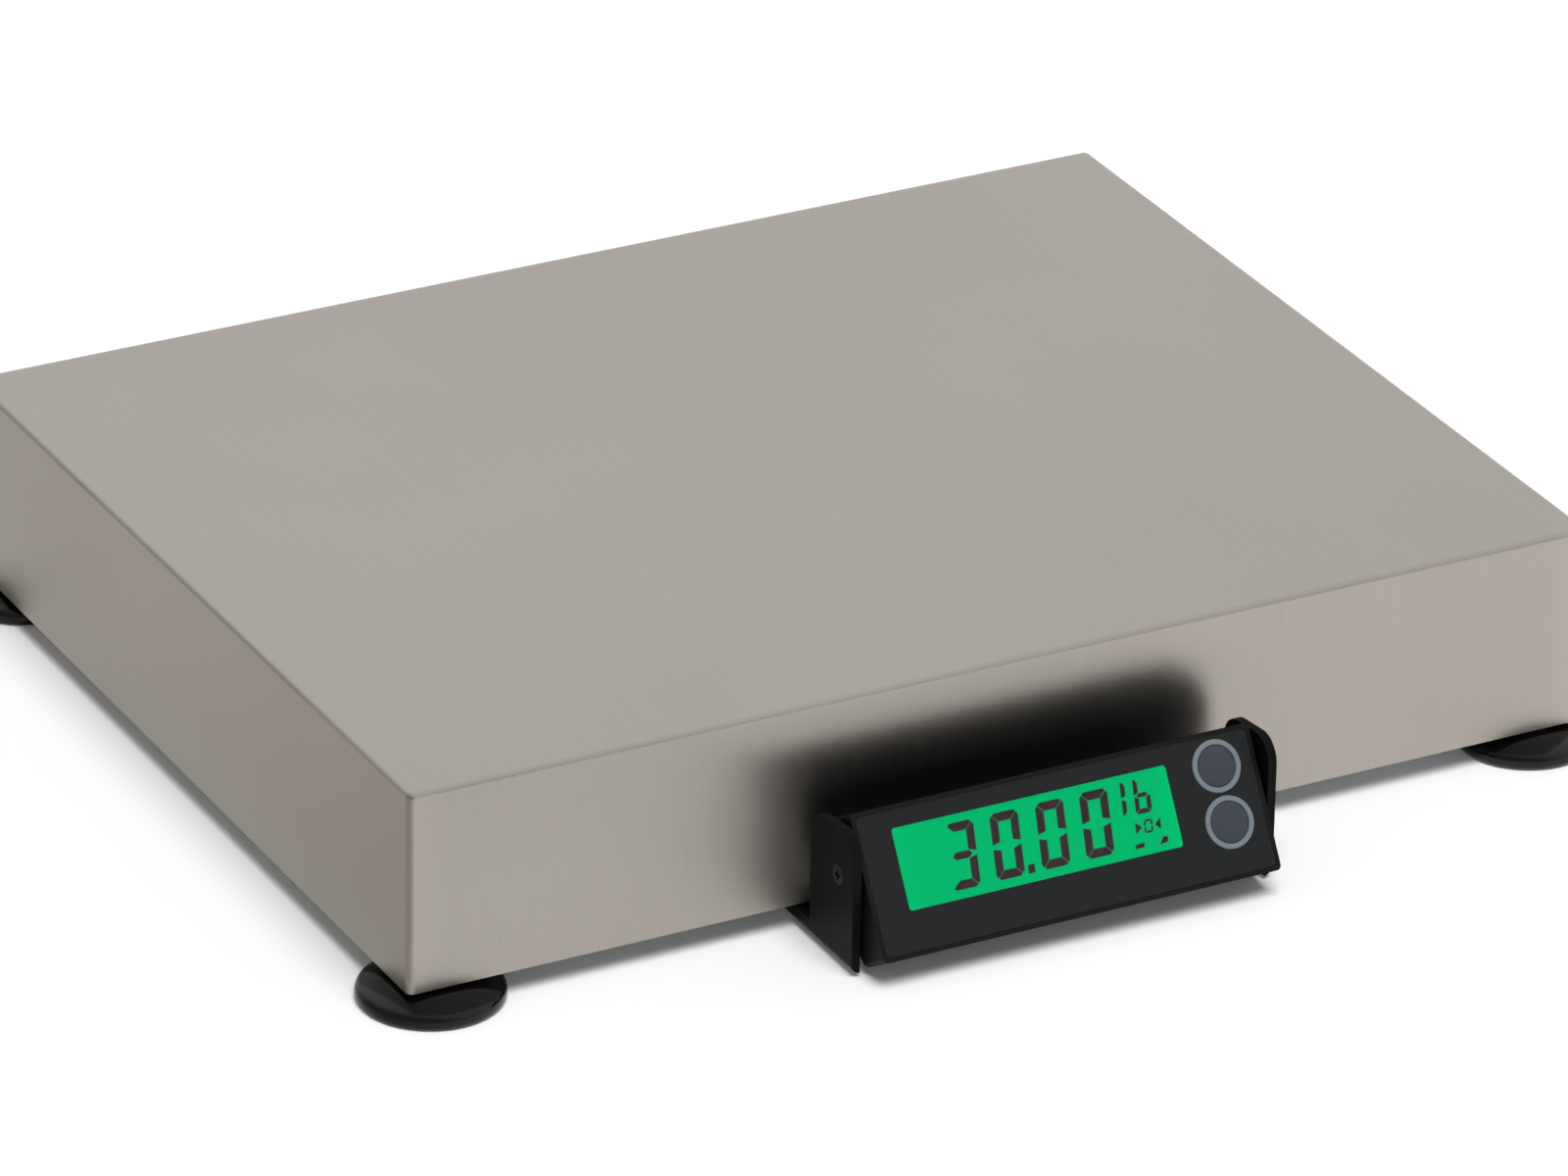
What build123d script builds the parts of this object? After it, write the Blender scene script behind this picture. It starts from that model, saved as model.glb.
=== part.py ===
from build123d import *
from math import atan2, cos, degrees, hypot, radians, sin
import os

os.makedirs("parts", exist_ok=True)

# A bench scale. Millimetres, +Z up, +X to the right, the display at the front (-Y).
# The origin lies on the table, under the middle of the whole footprint.

# Platter: a five-sided stainless cover, folded, with welded and ground corners
platter_width = 356.0
platter_depth = 279.4
platter_top = 66.0          # height of the load face above the table
skirt_height = 58.5
platter_sheet = 1.2
platter_bend = 1.6          # outside radius along the top edges
platter_corner = 2.0        # outside radius of the upright corners

# Cushions that carry the platter, and the spider under them
cushion_inset = 28.0        # from the platter's side faces to a cushion's middle
cushion_inset_front = 27.7  # from its front and back faces
cushion_diameter = 20.0
cushion_height = 5.0
cushion_recess = 2.0
cushion_wall = 3.0          # metal round each cushion's recess
spider_z = 50.0             # underside of the spider
spider_plate = 6.0
spider_arm = 26.0
spider_rib = 5.0
spider_rib_drop = 0.8       # the ribs stop this far under the cushion seats
hub_length = 150.0
hub_width = 60.0
finger_width = 12.0
locating_gap = 1.0          # between the spider's fingers and the skirt

# Load cell: an aluminium bar, fixed at its left end and live at its right end
cell_length = 130.0
cell_width = 35.0
flexure_bore = 16.0
flexure_spread = 28.0       # between the centres of the two flexure bores
flexure_slot = 7.0
cell_seat = 36.0            # length of bar that each spacer bears on
live_spacer_height = 4.0
base_spacer_height = 2.0
cell_screw = 6.0
cell_screw_pitch = 14.0
cell_screw_end = 11.0       # from the bar's end to its first screw
cell_screw_length = 16.0
cell_thread_depth = 12.0
cap_head_diameter = 10.0
cap_head_height = 4.0
gauge_length = 9.0
gauge_width = 7.0
gauge_height = 0.4

# Base frame: an aluminium casting that hides inside the skirt
frame_z = 10.0              # underside of the frame
frame_height = 16.0
frame_deck = 3.0
frame_wall = 4.0
frame_corner = 9.0
frame_gap = 2.0             # between the frame and the skirt
rib_width = 5.0
rib_height = 9.0
platform_height = 9.0

# Overload stops: set screws in tall pillars under the spider's arms
stop_share = 0.8            # how far out towards the cushions the stops stand
stop_screw = 5.0
stop_length = 17.4
stop_gap = 0.6              # between each stop and the spider
stop_nut = 8.0
stop_nut_height = 4.0
pillar_diameter = 12.0
pillar_top = 44.0

# Level vial
level_inset = 63.0          # from the platter's left face
level_diameter = 20.0
level_height = 6.5
level_wall = 3.0
level_seat = 6.0            # depth of the vial's seat
level_ring_height = 1.5

# Feet: swivel pads on threaded studs
foot_inset = 11.3           # from the platter's side faces to a foot's middle
foot_inset_front = 9.7      # from its front and back faces
pad_diameter = 40.0
pad_round = 2.2             # the rim's rounding
pad_rim = 4.4               # height of the pad's edge
pad_crown = 6.4             # height where the dome meets the neck
pad_crown_step = 0.4
pad_crown_diameter = 16.0
pad_neck_diameter = 12.4
pad_height = 7.4
stud_diameter = 8.0
stud_top = 40.0
stud_neck = 4.8
stud_shoulder = 0.2         # the thread starts this far above the frame's underside
stud_lead = 0.8             # chamfer at each end of the thread
ball_diameter = 8.0
ball_z = 5.2
foot_boss = 13.0
jam_nut = 13.0
jam_nut_height = 4.0
slot_width = 1.6
slot_depth = 2.0

# Display bracket: black sheet steel, one ear each side of the display
bracket_sheet = 2.5
bracket_bend = 3.0
bracket_z = 1.0             # underside above the table
ear_clearance = 1.25        # between each ear and the case
ear_front = 30.3            # reach in front of the platter
ear_back = 6.6
ear_top = 41.8              # at the ear's front edge
ear_top_back = 39.2
ear_corner = 7.0
throat_reach = 15.3         # front edge of the floor between the ears
flange_top = 6.3
bracket_tail = 67.7         # how far the bracket runs back under the platter
tail_screw = 5.0
tail_head = 9.2
tail_hexagon = 3.0
tail_screw_margin = 18.75   # from the bracket's side
tail_screw_front = 24.7     # first row of screws, behind the platter's front
tail_screw_pitch = 30.0
tail_boss = 14.0
tail_thread_depth = 8.5

# Display case, in its own tilted frame: up the panel and out of the panel from the pivot
pivot_reach = 21.6          # in front of the platter
pivot_z = 26.6
panel_angle = 59.0          # the panel's slope from level
case_width = 120.0
case_above = 14.7
case_below = 25.5
case_front = 7.6
case_back = 9.4
case_heel = 4.4             # how far the underside runs behind the pivot
case_waist = 12.0           # where the sloped back meets the flat back
case_shoulder = 3.0         # chamfer along the top of the back
case_wall = 2.2
case_corner = 1.5
case_split = 4.4            # parting line in front of the pivot

# Display window, film overlay and keys, measured from the panel's top edge and middle
overlay_margin = 1.2
overlay_thickness = 0.5
window_height = 22.1
window_left = 10.8          # margin from the case's left side
window_right = 26.8         # margin from its right side, where the keys are
window_drop = 17.15
window_corner = 0.8
lens_lap = 1.0
key_inset = 12.0            # from the case's right side
key_drops = {"upper_key": 9.5, "lower_key": 24.8}
key_diameter = 11.1
key_dome = 0.9              # how far a key's crown stands out of the panel
key_ring_diameter = 14.4
key_ring_bore = 11.4
key_ring_proud = 0.4
key_lug_span = 13.0         # across the two lugs that keep a key in
key_lug_width = 7.0
key_lug_height = 1.2
key_travel = 0.5

# Inside the display
glass_lap = 2.0             # glass beyond the window, each side
glass_thickness = 2.2
backlight_thickness = 3.0
holder_wall = 0.8
board_margin = 9.0          # from the case's sides
board_height = 34.4
board_thickness = 1.6
board_seat = 0.0            # front face of the board, level with the pivot
switch_size = 6.0
switch_height = 3.4
plunger_diameter = 3.4
plunger_sink = 1.0          # plunger inside its switch
case_screw = 2.6
case_screw_rows = (9.4, -14.3)
case_screw_head = 4.8
case_screw_head_height = 1.8
case_screw_sink = 3.6       # from the back of the case to the seat of each screw's head
case_screw_length = 9.2     # from the back of its head
post_diameter = 5.0
rear_post_diameter = 6.6
post_hole_depth = 4.4
board_screw = 2.2
board_screw_insets = (7.0, 15.0)    # from the board's left and right ends
board_screw_drop = 35.1     # from the panel's top edge
board_screw_head = 4.0
board_screw_head_height = 1.3
board_screw_length = 4.2

# Chips on the board's back: place across and up, width, height, thickness
chips = ((-6, 4, 12, 12, 1.4), (-4, -13, 10, 6, 1.8), (12, -14, 6, 5, 1.6), (38, 4, 7, 7, 3.0),
         (38, -12, 5, 5, 2.4))

# Pivots, and the sockets in the back of the case
pivot_screw = 3.0
pivot_head = 5.6
pivot_head_height = 1.6
insert_diameter = 5.6
insert_length = 5.5
insert_wall = 1.0
pivot_engagement = 5.0
washer_diameter = 8.0
socket_drop = 13.0          # from the panel's top edge
lead_socket_inset = 32.0    # from the case's left side, seen from the front
lead_socket_size = (14.0, 11.0)
lead_port_size = (10.0, 7.0)
power_socket_inset = 38.0   # from its right side
power_socket_size = (9.0, 11.0)
power_port = 5.6
power_pin = 2.1
port_depth = 6.0

# Grommet for the display's lead
grommet_x = -30.0
grommet_z = 19.0
grommet_hole = 9.0
grommet_bore = 6.0
grommet_flange = 11.6
grommet_lip = 1.2

# Fits
running_gap = 0.05          # radial gap where one piece turns or slides in another
seat_gap = 0.1              # gap round a piece that drops into a recess
thread_gap = 0.02           # threads are drawn as plain cylinders
screw_clearance = 0.3       # radial clearance of a screw's through hole

# Levels and places that follow from those sizes
cushion_x = platter_width / 2 - cushion_inset
cushion_y = platter_depth / 2 - cushion_inset_front
stop_x = cushion_x * stop_share
level_x = level_inset - platter_width / 2
foot_x = platter_width / 2 - foot_inset
foot_y = platter_depth / 2 - foot_inset_front
bracket_width = case_width + 2 * (ear_clearance + bracket_sheet)
tail_screw_x = bracket_width / 2 - tail_screw_margin
window_width = case_width - window_left - window_right
window_x = (window_left - window_right) / 2
key_x = case_width / 2 - key_inset
case_screw_x = case_width / 2 - case_wall - post_diameter / 2 - seat_gap
lead_socket_x = lead_socket_inset - case_width / 2
power_socket_x = case_width / 2 - power_socket_inset
board_width = case_width - 2 * board_margin
board_screw_xs = (board_screw_insets[0] - board_width / 2, board_width / 2 - board_screw_insets[1])
skirt_bottom = platter_top - skirt_height
platter_underside = platter_top - platter_sheet
inner_x = platter_width / 2 - platter_sheet
inner_y = platter_depth / 2 - platter_sheet
cushion_seat = platter_underside - cushion_height
pad_top = cushion_seat + cushion_recess
cell_top = spider_z - live_spacer_height
platform_top = frame_z + platform_height
cell_bottom = platform_top + base_spacer_height
frame_top = frame_z + frame_height
deck_top = frame_z + frame_deck
bracket_floor = bracket_z + bracket_sheet
slope = radians(panel_angle)
front_reach = platter_depth / 2 + pivot_reach + case_front * sin(slope) + case_below * cos(slope)
back_reach = foot_y + pad_diameter / 2
centre_y = (front_reach - back_reach) / 2      # the platter's middle
face_y = centre_y - platter_depth / 2          # the platter's front face
pivot_y = face_y - pivot_reach
panel_back = case_front - case_wall            # back of the case's front wall
film_seat = case_front - overlay_thickness
panel_middle = (case_above - case_below) / 2
window_up = case_above - window_drop
glass_width = window_width + 2 * glass_lap
glass_height = window_height + 2 * glass_lap
glass_back = panel_back - glass_thickness
backlight_back = glass_back - backlight_thickness
ear_inside = bracket_width / 2 - bracket_sheet


def level(z):
    """A level plane at height z, with its origin under the platter's middle."""
    return Plane((0, centre_y, z))


def corners(x, y):
    """The four points at plus and minus x and y."""
    return [(side * x, end * y) for side in (-1, 1) for end in (-1, 1)]


up_panel = (0, cos(slope), sin(slope))
out_of_panel = (0, -sin(slope), cos(slope))
display = Plane((0, pivot_y, pivot_z), x_dir=(1, 0, 0), z_dir=out_of_panel)
case_side = Plane((0, pivot_y, pivot_z), x_dir=up_panel, z_dir=(1, 0, 0))


def panel(out):
    """The plane parallel to the panel, this far in front of the pivot."""
    return display.offset(out)


key_ups = {name: case_above - drop for name, drop in key_drops.items()}
key_places = [(key_x, up) for up in key_ups.values()]

# Platter
with BuildPart() as platter:
    with BuildSketch(level(skirt_bottom)):
        RectangleRounded(platter_width, platter_depth, platter_corner)
    extrude(amount=skirt_height)
    fillet(platter.faces().sort_by(Axis.Z)[-1].edges(), platter_bend)
    offset(amount=-platter_sheet, openings=platter.faces().sort_by(Axis.Z)[0])
platter.part.label = "platter"
export_step(platter.part, "parts/platter.step")

# Rubber cushions between the platter and the spider
with BuildPart() as platter_cushions:
    with BuildSketch(level(cushion_seat)):
        with Locations(*corners(cushion_x, cushion_y)):
            Circle(cushion_diameter / 2)
    extrude(amount=cushion_height)
    chamfer(platter_cushions.edges().filter_by(GeomType.CIRCLE).group_by(Axis.Z)[-1], 0.8)
platter_cushions.part.label = "platter_cushions"
export_step(platter_cushions.part, "parts/platter_cushions.step")

# Spider: two crossed arms on a hub, ribbed on top, with fingers that locate the skirt
arm_span = 2 * hypot(cushion_x, cushion_y)
arm_angle = degrees(atan2(cushion_y, cushion_x))
finger_x = inner_x - locating_gap - cushion_x
finger_y = inner_y - locating_gap - cushion_y
live_screws = [(cell_length / 2 - cell_screw_end - i * cell_screw_pitch, 0) for i in (0, 1)]
fixed_screws = [(-x, y) for x, y in live_screws]
with BuildPart() as spider:
    with BuildSketch(level(spider_z)):
        Rectangle(hub_length, hub_width)
        for angle in (arm_angle, -arm_angle):
            SlotCenterToCenter(arm_span, spider_arm, rotation=angle)
        with Locations(*corners(cushion_x + finger_x / 2, cushion_y)):
            Rectangle(finger_x, finger_width)
        with Locations(*corners(cushion_x, cushion_y + finger_y / 2)):
            Rectangle(finger_width, finger_y)
    extrude(amount=spider_plate)
    with BuildSketch(level(spider_z)):
        with Locations(*corners(cushion_x, cushion_y)):
            Circle(cushion_diameter / 2 + cushion_wall)
    extrude(amount=pad_top - spider_z)
    with BuildSketch(level(spider_z + spider_plate)):
        for angle in (arm_angle, -arm_angle):
            SlotCenterToCenter(arm_span, spider_rib, rotation=angle)
    extrude(amount=pad_top - spider_rib_drop - spider_z - spider_plate)
    with BuildSketch(level(cushion_seat)):
        with Locations(*corners(cushion_x, cushion_y)):
            Circle(cushion_diameter / 2 + seat_gap)
    extrude(amount=cushion_height, mode=Mode.SUBTRACT)
    with BuildSketch(level(spider_z)):
        with Locations(*live_screws):
            Circle(cell_screw / 2 + screw_clearance)
    extrude(amount=spider_plate, mode=Mode.SUBTRACT)
spider.part.label = "spider"
export_step(spider.part, "parts/spider.step")

# Load cell: a bar with two flexure bores joined by a slot, and its spacers
with BuildPart() as load_cell:
    with BuildSketch(Plane((0, centre_y, 0), x_dir=(1, 0, 0), z_dir=(0, -1, 0))):
        with Locations((0, (cell_top + cell_bottom) / 2)):
            Rectangle(cell_length, cell_top - cell_bottom)
            with Locations((-flexure_spread / 2, 0), (flexure_spread / 2, 0)):
                Circle(flexure_bore / 2, mode=Mode.SUBTRACT)
            Rectangle(flexure_spread, flexure_slot, mode=Mode.SUBTRACT)
    extrude(amount=cell_width / 2, both=True)
    with BuildSketch(level(cell_top)):
        with Locations(*live_screws):
            Circle(cell_screw / 2 + thread_gap)
    extrude(amount=-cell_thread_depth, mode=Mode.SUBTRACT)
    with BuildSketch(level(cell_bottom)):
        with Locations(*fixed_screws):
            Circle(cell_screw / 2 + thread_gap)
    extrude(amount=cell_thread_depth, mode=Mode.SUBTRACT)
load_cell.part.label = "load_cell"
export_step(load_cell.part, "parts/load_cell.step")

with BuildPart() as live_spacer:
    with BuildSketch(level(cell_top)):
        with Locations((cell_length / 2 - cell_seat / 2, 0)):
            Rectangle(cell_seat, cell_width)
        with Locations(*live_screws):
            Circle(cell_screw / 2 + screw_clearance, mode=Mode.SUBTRACT)
    extrude(amount=live_spacer_height)
live_spacer.part.label = "live_spacer"
export_step(live_spacer.part, "parts/live_spacer.step")

with BuildPart() as base_spacer:
    with BuildSketch(level(platform_top)):
        with Locations((cell_seat / 2 - cell_length / 2, 0)):
            Rectangle(cell_seat, cell_width)
        with Locations(*fixed_screws):
            Circle(cell_screw / 2 + screw_clearance, mode=Mode.SUBTRACT)
    extrude(amount=base_spacer_height)
base_spacer.part.label = "base_spacer"
export_step(base_spacer.part, "parts/base_spacer.step")

# Strain gauges, over and under the thin walls of the flexure
with BuildPart() as strain_gauges:
    for z in (cell_top, cell_bottom - gauge_height):
        with BuildSketch(level(z)):
            with Locations((-flexure_spread / 2, 0), (flexure_spread / 2, 0)):
                Rectangle(gauge_length, gauge_width)
        extrude(amount=gauge_height)
strain_gauges.part.label = "strain_gauges"
export_step(strain_gauges.part, "parts/strain_gauges.step")


def cap_screws(places, seat, up):
    """Cap screws whose heads stand up (1) or hang down (-1) from the seat, with hexagon sockets."""
    with BuildSketch(level(seat)) as heads:
        with Locations(*places):
            Circle(cap_head_diameter / 2)
    extrude(heads.sketch, amount=up * cap_head_height)
    with BuildSketch(level(seat)) as shanks:
        with Locations(*places):
            Circle(cell_screw / 2)
    extrude(shanks.sketch, amount=-up * cell_screw_length)
    with BuildSketch(level(seat + up * cap_head_height)) as sockets:
        with Locations(*places):
            RegularPolygon(cell_screw / 2, 6)
    extrude(sockets.sketch, amount=-up * cap_head_height / 2, mode=Mode.SUBTRACT)


base_screw_seat = frame_z + cap_head_height + seat_gap
with BuildPart() as load_cell_base_screws:
    cap_screws(fixed_screws, base_screw_seat, -1)
load_cell_base_screws.part.label = "load_cell_base_screws"
export_step(load_cell_base_screws.part, "parts/load_cell_base_screws.step")

with BuildPart() as load_cell_live_screws:
    cap_screws(live_screws, spider_z + spider_plate, 1)
load_cell_live_screws.part.label = "load_cell_live_screws"
export_step(load_cell_live_screws.part, "parts/load_cell_live_screws.step")

# Base frame: a shallow ribbed tray with a platform for the load cell
frame_width = 2 * (inner_x - frame_gap)
frame_depth = 2 * (inner_y - frame_gap)
stop_y = cushion_y * stop_x / cushion_x
stop_places = corners(stop_x, stop_y)
foot_places = corners(foot_x, foot_y)
rib_angle = degrees(atan2(foot_y, foot_x))
tail_rows = (tail_screw_front - platter_depth / 2, tail_screw_front + tail_screw_pitch - platter_depth / 2)
tail_screws = [(side * tail_screw_x, y) for side in (-1, 1) for y in tail_rows]
with BuildPart() as base_frame:
    with BuildSketch(level(frame_z)):
        RectangleRounded(frame_width, frame_depth, frame_corner)
    extrude(amount=frame_height)
    with BuildSketch(level(deck_top)):
        RectangleRounded(frame_width - 2 * frame_wall, frame_depth - 2 * frame_wall,
                         frame_corner - frame_wall)
    extrude(amount=frame_height, mode=Mode.SUBTRACT)
    with BuildSketch(level(frame_z)):
        for angle in (rib_angle, -rib_angle):
            SlotCenterToCenter(2 * hypot(foot_x, foot_y), rib_width, rotation=angle)
        Rectangle(frame_width - frame_wall, rib_width)
        Rectangle(rib_width, frame_depth - frame_wall)
    extrude(amount=frame_deck + rib_height)
    with BuildSketch(level(frame_z)):
        Rectangle(hub_length, hub_width)
    extrude(amount=platform_height)
    with BuildSketch(level(platform_top)):
        Rectangle(hub_length, hub_width)
    extrude(amount=cell_bottom, mode=Mode.SUBTRACT)
    with BuildSketch(level(frame_z)):
        with Locations(*foot_places):
            Circle(foot_boss / 2)
    extrude(amount=frame_height)
    with BuildSketch(level(frame_z)):
        with Locations(*stop_places):
            Circle(pillar_diameter / 2)
    extrude(amount=pillar_top - frame_z)
    with BuildSketch(level(frame_z)):
        with Locations((level_x, 0)):
            Circle(level_diameter / 2 + level_wall)
    extrude(amount=frame_deck + rib_height)
    with BuildSketch(level(frame_z + frame_deck + rib_height)):
        with Locations((level_x, 0)):
            Circle(level_diameter / 2 + seat_gap)
    extrude(amount=-level_seat, mode=Mode.SUBTRACT)
    with BuildSketch(level(bracket_floor)):
        with Locations(*tail_screws):
            Circle(tail_boss / 2)
    extrude(amount=frame_z - bracket_floor)
    with BuildSketch(level(bracket_floor)):
        with Locations(*tail_screws):
            Circle(tail_screw / 2 + thread_gap)
    extrude(amount=tail_thread_depth, mode=Mode.SUBTRACT)
    with BuildSketch(level(frame_z)):
        with Locations(*foot_places):
            Circle(stud_diameter / 2 + running_gap)
    extrude(amount=frame_height, mode=Mode.SUBTRACT)
    with BuildSketch(level(pillar_top)):
        with Locations(*stop_places):
            Circle(stop_screw / 2 + thread_gap)
    extrude(amount=-stop_length, mode=Mode.SUBTRACT)
    with BuildSketch(level(frame_z)):
        with Locations(*fixed_screws):
            Circle(cell_screw / 2 + screw_clearance)
    extrude(amount=platform_height, mode=Mode.SUBTRACT)
    with BuildSketch(level(frame_z)):
        with Locations(*fixed_screws):
            Circle(cap_head_diameter / 2 + screw_clearance)
    extrude(amount=base_screw_seat - frame_z, mode=Mode.SUBTRACT)
    with BuildSketch(Plane((0, centre_y - frame_depth / 2, 0), x_dir=(1, 0, 0), z_dir=(0, -1, 0))):
        with Locations((grommet_x, grommet_z)):
            Circle(grommet_hole / 2)
    extrude(amount=-frame_wall, mode=Mode.SUBTRACT)
base_frame.part.label = "base_frame"
export_step(base_frame.part, "parts/base_frame.step")

# Overload stops and their locknuts
stop_top = spider_z - stop_gap
with BuildPart() as overload_stops:
    with BuildSketch(level(stop_top)):
        with Locations(*stop_places):
            Circle(stop_screw / 2)
    extrude(amount=-stop_length)
    with BuildSketch(level(stop_top)):
        with Locations(*stop_places):
            RegularPolygon(stop_screw / 4, 6)
    extrude(amount=-stop_screw / 2, mode=Mode.SUBTRACT)
overload_stops.part.label = "overload_stops"
export_step(overload_stops.part, "parts/overload_stops.step")

with BuildPart() as overload_locknuts:
    with BuildSketch(level(pillar_top)):
        with Locations(*stop_places):
            RegularPolygon(stop_nut / 2, 6, major_radius=False)
            Circle(stop_screw / 2 + thread_gap, mode=Mode.SUBTRACT)
    extrude(amount=stop_nut_height)
overload_locknuts.part.label = "overload_locknuts"
export_step(overload_locknuts.part, "parts/overload_locknuts.step")

# Level vial in its seat, under a retaining ring
vial_z = frame_z + frame_deck + rib_height - level_seat
with BuildPart() as level_vial:
    with BuildSketch(level(vial_z)):
        with Locations((level_x, 0)):
            Circle(level_diameter / 2)
    extrude(amount=level_height)
    fillet(level_vial.edges().group_by(Axis.Z)[-1], 0.8)
level_vial.part.label = "level_vial"
export_step(level_vial.part, "parts/level_vial.step")

with BuildPart() as level_ring:
    with BuildSketch(level(vial_z + level_seat)):
        with Locations((level_x, 0)):
            Circle(level_diameter / 2 + level_wall)
            Circle(level_diameter / 2 + seat_gap, mode=Mode.SUBTRACT)
    extrude(amount=level_ring_height)
level_ring.part.label = "level_ring"
export_step(level_ring.part, "parts/level_ring.step")

# Grommet in the frame's front wall
with BuildPart() as lead_grommet:
    wall_face = centre_y - frame_depth / 2
    for start, thickness, diameter in (
        (wall_face - grommet_lip, grommet_lip, grommet_flange),
        (wall_face, frame_wall, grommet_hole - 2 * seat_gap),
        (wall_face + frame_wall, grommet_lip, grommet_flange),
    ):
        with BuildSketch(Plane((grommet_x, start, grommet_z), x_dir=(1, 0, 0), z_dir=(0, 1, 0))):
            Circle(diameter / 2)
            Circle(grommet_bore / 2, mode=Mode.SUBTRACT)
        extrude(amount=thickness)
lead_grommet.part.label = "lead_grommet"
export_step(lead_grommet.part, "parts/lead_grommet.step")

# Feet: each stud screws through a corner boss and turns in its swivel pad
foot_names = {"front_left": (-foot_x, -foot_y), "front_right": (foot_x, -foot_y),
              "back_left": (-foot_x, foot_y), "back_right": (foot_x, foot_y)}
for place, (x, y) in foot_names.items():
    foot_section = Plane((x, centre_y + y, 0), x_dir=(1, 0, 0), z_dir=(0, -1, 0))
    with BuildPart() as foot_pad:
        with BuildSketch(foot_section):
            with BuildLine():
                rim = pad_diameter / 2
                shoulder = rim - pad_round * 0.6
                crown = pad_crown_diameter / 2
                neck = pad_neck_diameter / 2
                Line((0, 0), (shoulder, 0))
                ThreePointArc((shoulder, 0), (rim - pad_round * 0.1, pad_round * 0.4), (rim, pad_round))
                ThreePointArc((rim, pad_round), (rim - pad_round * 0.15, pad_rim * 0.8), (shoulder, pad_rim))
                ThreePointArc((shoulder, pad_rim), ((shoulder + crown) / 2, pad_crown * 0.93),
                              (crown, pad_crown))
                Polyline((crown, pad_crown), (neck, pad_crown + pad_crown_step), (neck, pad_height),
                         (0, pad_height), (0, 0))
            make_face()
        revolve(axis=Axis((x, centre_y + y, 0), (0, 0, 1)))
        with Locations((x, centre_y + y, ball_z)):
            Sphere(ball_diameter / 2 + running_gap, mode=Mode.SUBTRACT)
    foot_pad.part.label = f"foot_pad_{place}"
    export_step(foot_pad.part, f"parts/foot_pad_{place}.step")

    with BuildPart() as foot_stud:
        with BuildSketch(foot_section):
            with BuildLine():
                neck_z = ball_z + (ball_diameter ** 2 / 4 - stud_neck ** 2 / 4) ** 0.5
                ThreePointArc((0, ball_z - ball_diameter / 2), (ball_diameter / 2, ball_z),
                              (stud_neck / 2, neck_z))
                thread = stud_diameter / 2
                Polyline((stud_neck / 2, neck_z), (stud_neck / 2, frame_z + stud_shoulder),
                         (thread, frame_z + stud_shoulder + stud_lead), (thread, stud_top - stud_lead),
                         (thread - stud_lead, stud_top), (0, stud_top), (0, ball_z - ball_diameter / 2))
            make_face()
        revolve(axis=Axis((x, centre_y + y, 0), (0, 0, 1)))
        with BuildSketch(level(stud_top)):
            with Locations((x, y)):
                Rectangle(slot_width, stud_diameter)
        extrude(amount=-slot_depth, mode=Mode.SUBTRACT)
    foot_stud.part.label = f"foot_stud_{place}"
    export_step(foot_stud.part, f"parts/foot_stud_{place}.step")

with BuildPart() as foot_jam_nuts:
    with BuildSketch(level(frame_top)):
        with Locations(*foot_places):
            RegularPolygon(jam_nut / 2, 6, major_radius=False)
            Circle(stud_diameter / 2 + running_gap, mode=Mode.SUBTRACT)
    extrude(amount=jam_nut_height)
foot_jam_nuts.part.label = "foot_jam_nuts"
export_step(foot_jam_nuts.part, "parts/foot_jam_nuts.step")

# Display bracket: a bent channel, cut to the ears' outline, with a throat between them
tail_y = face_y + bracket_tail
with BuildPart() as display_bracket:
    with BuildSketch(Plane((0, face_y - ear_front, 0), x_dir=(1, 0, 0), z_dir=(0, -1, 0))):
        with Locations((0, (bracket_z + ear_top) / 2)):
            Rectangle(bracket_width, ear_top - bracket_z)
        with Locations((0, bracket_floor)):
            Rectangle(bracket_width - 2 * bracket_sheet, ear_top - bracket_floor,
                      align=(Align.CENTER, Align.MIN), mode=Mode.SUBTRACT)
    extrude(amount=-(ear_front + bracket_tail))
    fillet(display_bracket.edges().filter_by(Axis.Y).group_by(Axis.Z)[0], bracket_bend)
    with BuildSketch(Plane.YZ):
        with BuildLine():
            Polyline((face_y - ear_front, ear_top), (face_y - ear_back, ear_top_back),
                     (face_y - ear_back, flange_top), (tail_y, flange_top), (tail_y, ear_top),
                     close=True)
        make_face()
    extrude(amount=bracket_width / 2, both=True, mode=Mode.SUBTRACT)
    ear_edges = display_bracket.edges().filter_by(Axis.X).sort_by(Axis.Z)[-4:]
    fillet(ear_edges, ear_corner)
    with BuildSketch(Plane((0, 0, bracket_z))):
        with Locations((0, face_y - ear_front)):
            Rectangle(2 * ear_inside, ear_front - throat_reach, align=(Align.CENTER, Align.MIN))
    extrude(amount=bracket_sheet, mode=Mode.SUBTRACT)
    with Locations(Plane((0, centre_y, bracket_z), x_dir=(1, 0, 0), z_dir=(0, 0, -1))):
        with Locations(*[(x, -y) for x, y in tail_screws]):
            CounterSinkHole(tail_screw / 2 + screw_clearance, tail_head / 2 + seat_gap, bracket_sheet,
                            counter_sink_angle=90)
    for side in (-1, 1):
        with Locations(Plane((side * bracket_width / 2, pivot_y, pivot_z), z_dir=(side, 0, 0))):
            CounterSinkHole(pivot_screw / 2 + running_gap, pivot_head / 2 + running_gap, bracket_sheet,
                            counter_sink_angle=90)
display_bracket.part.label = "display_bracket"
export_step(display_bracket.part, "parts/display_bracket.step")

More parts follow.
